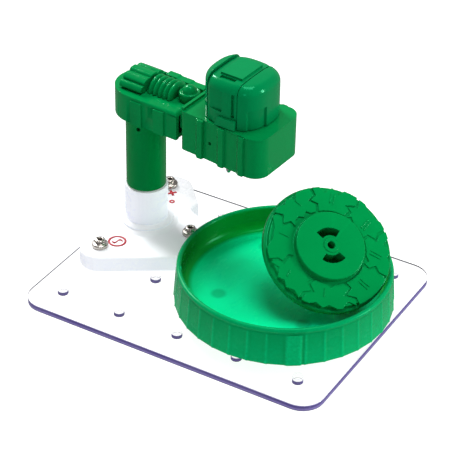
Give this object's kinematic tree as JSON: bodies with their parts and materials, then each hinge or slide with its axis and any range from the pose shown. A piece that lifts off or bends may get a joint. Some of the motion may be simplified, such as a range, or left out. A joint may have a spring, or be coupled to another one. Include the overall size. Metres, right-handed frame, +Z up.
{
  "type": "scara robot arm",
  "caption": "Toy SCARA-type arm on a clear grid plate: swivelling column, two green arm housings, motor head with spindle, round tray and a leaning spinner.",
  "frame": {"origin": "centre of the clear plate's underside", "axes": "+X along the plate's long front edge, from the column towards the tray; +Y towards the back; +Z up along the column"},
  "size_m": [0.1413, 0.1098, 0.1017],
  "materials": {
    "clear_plate": "clear moulded acrylic, violet-tinted edges",
    "white_base": "glossy white ABS",
    "green": "glossy green ABS",
    "dark_green": "glossy dark green ABS",
    "tray_green": "glossy bright green polypropylene, slightly translucent",
    "nickel": "nickel-plated snap",
    "steel": "plain steel",
    "brass": "plain brass",
    "nylon": "natural nylon",
    "black_plastic": "black plastic"
  },
  "bodies": {
    "base": {"base_plate": "clear_plate", "tower_base": "white_base", "snap_stud_left": "nickel", "snap_stud_back": "nickel", "snap_stud_right": "nickel", "snap_socket_left": "nickel", "snap_socket_back": "nickel", "snap_socket_right": "nickel", "contact_strip_left": "brass", "contact_strip_back": "brass"},
    "upper_arm": {"column_tube": "dark_green", "retaining_ring": "steel", "column_nut": "black_plastic", "upper_arm_shell": "green", "upper_arm_cover": "green", "upper_arm_screw_1": "steel", "upper_arm_screw_2": "steel", "actuator_barrel": "green", "bellows_boot": "green", "side_rail": "green", "elbow_cap": "green", "elbow_pin": "steel"},
    "forearm": {"elbow_washer": "nylon", "forearm_shell": "green", "forearm_cover": "green", "forearm_screw_1": "steel", "forearm_screw_2": "steel", "forearm_screw_3": "steel", "forearm_screw_4": "steel", "head_fin": "green", "head_shell": "green", "head_lobe": "green", "motor_can": "steel", "motor_end_bell": "nylon", "motor_mount": "black_plastic", "spindle_bush": "brass"},
    "rotor": {"motor_shaft": "steel", "pinion_gear": "nylon"},
    "drive": {"spur_gear": "nylon", "spindle": "steel", "drive_hub": "dark_green"},
    "tray": {"tray": "tray_green"},
    "spinner": {"spinner_disc": "green", "spinner_stem": "dark_green"}
  },
  "joints": [
    {"name": "shoulder_swivel", "type": "hinge", "parent": "base", "child": "upper_arm", "pos_m": [-0.05021, 0.01397, 0.03], "axis": [0, 0, 1], "range_deg": [-120, 120]},
    {"name": "elbow", "type": "hinge", "parent": "upper_arm", "child": "forearm", "pos_m": [-0.02777, 0.01232, 0.07], "axis": [0, 0, 1], "range_deg": [-8, 8]},
    {"name": "spindle_spin", "type": "hinge", "parent": "forearm", "child": "drive", "pos_m": [-0.00782, 0.01086, 0.07], "axis": [0, 0, 1], "continuous": true},
    {"name": "motor_spin", "type": "hinge", "parent": "forearm", "child": "rotor", "pos_m": [-0.00234, 0.01045, 0.07], "axis": [0, 0, 1], "continuous": true},
    {"name": "tray_lift", "type": "slide", "parent": "base", "child": "tray", "axis": [0, 0, 1], "range_m": [0, 0.01]},
    {"name": "spinner_lift", "type": "slide", "parent": "tray", "child": "spinner", "axis": [0.4976, -0.3182, 0.807], "range_m": [0, 0.03]}
  ],
  "couplings": [
    {"joint": "motor_spin", "follows": "spindle_spin", "ratio": -1.75}
  ]
}
